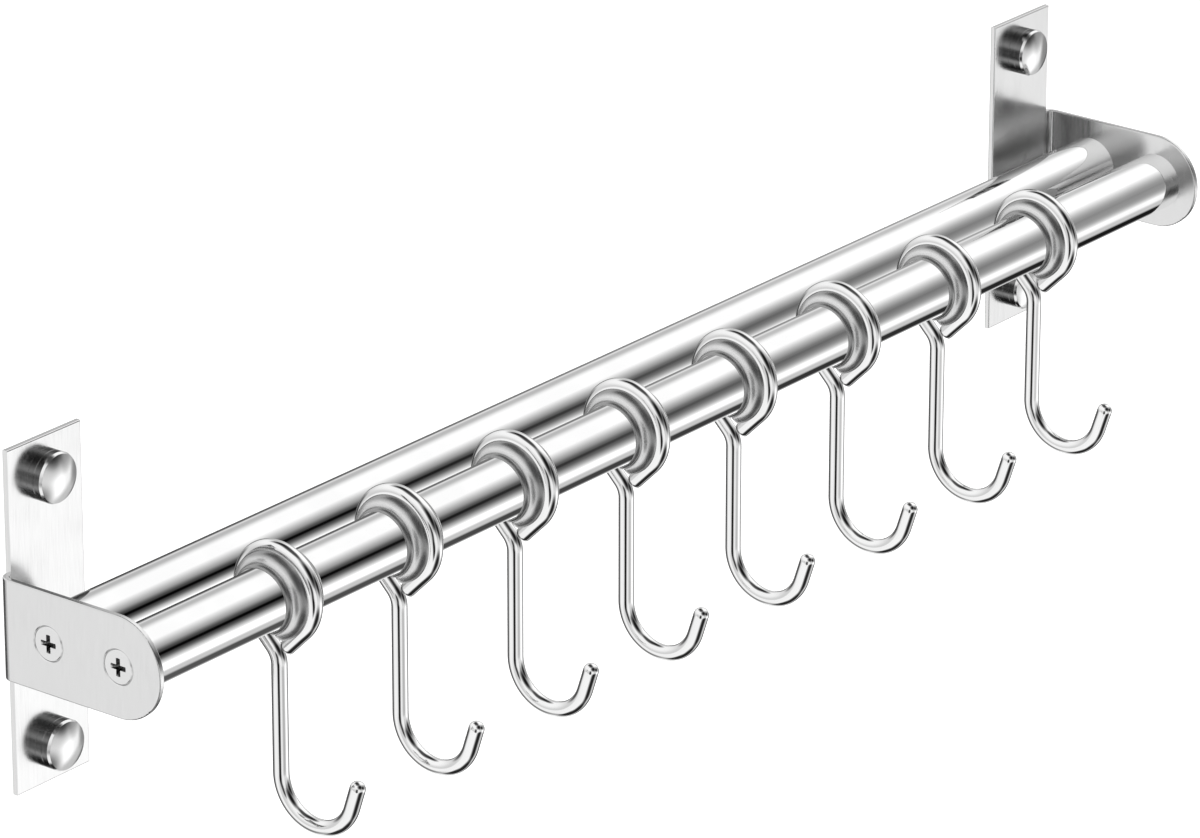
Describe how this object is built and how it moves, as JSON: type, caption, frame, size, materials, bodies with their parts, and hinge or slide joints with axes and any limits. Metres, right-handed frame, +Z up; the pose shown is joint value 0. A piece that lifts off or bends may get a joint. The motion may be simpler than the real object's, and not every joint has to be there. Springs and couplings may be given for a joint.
{
  "type": "kitchen utensil rail",
  "caption": "Wall rail of two parallel round tubes between folded sheet brackets, with bent wire hooks that slide and swing on grooved plastic bushes along the front tube.",
  "frame": {"origin": "middle of the four wall holes, on the wall plane behind the two plates", "axes": "+X along the tubes to the right as seen from the room, +Y into the wall, +Z up"},
  "size_m": [0.4384, 0.0649, 0.1061],
  "materials": {
    "bracket_sheet": "mirror polished stainless sheet",
    "rail_tube": "mirror polished stainless tube",
    "tube_insert": "turned steel",
    "ear_screw": "bright plated steel",
    "cover_base": "turned steel",
    "cover_cap": "mirror polished, with a bright bevel",
    "glide_bush": "satin light grey",
    "hook_wire": "mirror polished wire"
  },
  "bodies": {
    "rail": {"left_bracket": "bracket_sheet", "right_bracket": "bracket_sheet", "rear_rail": "rail_tube", "front_rail": "rail_tube", "left_rear_insert": "tube_insert", "left_rear_screw": "ear_screw", "left_front_insert": "tube_insert", "left_front_screw": "ear_screw", "left_upper_cover_base": "cover_base", "left_upper_cover_cap": "cover_cap", "left_lower_cover_base": "cover_base", "left_lower_cover_cap": "cover_cap", "right_rear_insert": "tube_insert", "right_rear_screw": "ear_screw", "right_front_insert": "tube_insert", "right_front_screw": "ear_screw", "right_upper_cover_base": "cover_base", "right_upper_cover_cap": "cover_cap", "right_lower_cover_base": "cover_base", "right_lower_cover_cap": "cover_cap"},
    "glide_1": {"glide_bush_1": "glide_bush"},
    "swing_hook_1": {"hook_1": "hook_wire"},
    "glide_2": {"glide_bush_2": "glide_bush"},
    "swing_hook_2": {"hook_2": "hook_wire"},
    "glide_3": {"glide_bush_3": "glide_bush"},
    "swing_hook_3": {"hook_3": "hook_wire"},
    "glide_4": {"glide_bush_4": "glide_bush"},
    "swing_hook_4": {"hook_4": "hook_wire"},
    "glide_5": {"glide_bush_5": "glide_bush"},
    "swing_hook_5": {"hook_5": "hook_wire"},
    "glide_6": {"glide_bush_6": "glide_bush"},
    "swing_hook_6": {"hook_6": "hook_wire"},
    "glide_7": {"glide_bush_7": "glide_bush"},
    "swing_hook_7": {"hook_7": "hook_wire"},
    "glide_8": {"glide_bush_8": "glide_bush"},
    "swing_hook_8": {"hook_8": "hook_wire"}
  },
  "joints": [
    {"name": "glide_1_slide", "type": "slide", "parent": "rail", "child": "glide_1", "axis": [1, 0, 0], "range_m": [-0.04915, 0.0316]},
    {"name": "hook_1_swing", "type": "hinge", "parent": "glide_1", "child": "swing_hook_1", "pos_m": [-0.16115, -0.0384, 0], "axis": [1, 0, 0], "range_deg": [-180, 30]},
    {"name": "glide_2_slide", "type": "slide", "parent": "rail", "child": "glide_2", "axis": [1, 0, 0], "range_m": [-0.0316, 0.0316]},
    {"name": "hook_2_swing", "type": "hinge", "parent": "glide_2", "child": "swing_hook_2", "pos_m": [-0.11545, -0.0384, 0], "axis": [1, 0, 0], "range_deg": [-180, 30]},
    {"name": "glide_3_slide", "type": "slide", "parent": "rail", "child": "glide_3", "axis": [1, 0, 0], "range_m": [-0.0316, 0.0316]},
    {"name": "hook_3_swing", "type": "hinge", "parent": "glide_3", "child": "swing_hook_3", "pos_m": [-0.06975, -0.0384, 0], "axis": [1, 0, 0], "range_deg": [-180, 30]},
    {"name": "glide_4_slide", "type": "slide", "parent": "rail", "child": "glide_4", "axis": [1, 0, 0], "range_m": [-0.0316, 0.0316]},
    {"name": "hook_4_swing", "type": "hinge", "parent": "glide_4", "child": "swing_hook_4", "pos_m": [-0.02405, -0.0384, 0], "axis": [1, 0, 0], "range_deg": [-180, 30]},
    {"name": "glide_5_slide", "type": "slide", "parent": "rail", "child": "glide_5", "axis": [1, 0, 0], "range_m": [-0.0316, 0.0316]},
    {"name": "hook_5_swing", "type": "hinge", "parent": "glide_5", "child": "swing_hook_5", "pos_m": [0.02165, -0.0384, 0], "axis": [1, 0, 0], "range_deg": [-180, 30]},
    {"name": "glide_6_slide", "type": "slide", "parent": "rail", "child": "glide_6", "axis": [1, 0, 0], "range_m": [-0.0316, 0.0316]},
    {"name": "hook_6_swing", "type": "hinge", "parent": "glide_6", "child": "swing_hook_6", "pos_m": [0.06735, -0.0384, 0], "axis": [1, 0, 0], "range_deg": [-180, 30]},
    {"name": "glide_7_slide", "type": "slide", "parent": "rail", "child": "glide_7", "axis": [1, 0, 0], "range_m": [-0.0316, 0.0316]},
    {"name": "hook_7_swing", "type": "hinge", "parent": "glide_7", "child": "swing_hook_7", "pos_m": [0.11305, -0.0384, 0], "axis": [1, 0, 0], "range_deg": [-180, 30]},
    {"name": "glide_8_slide", "type": "slide", "parent": "rail", "child": "glide_8", "axis": [1, 0, 0], "range_m": [-0.0316, 0.05155]},
    {"name": "hook_8_swing", "type": "hinge", "parent": "glide_8", "child": "swing_hook_8", "pos_m": [0.15875, -0.0384, 0], "axis": [1, 0, 0], "range_deg": [-180, 30]}
  ]
}
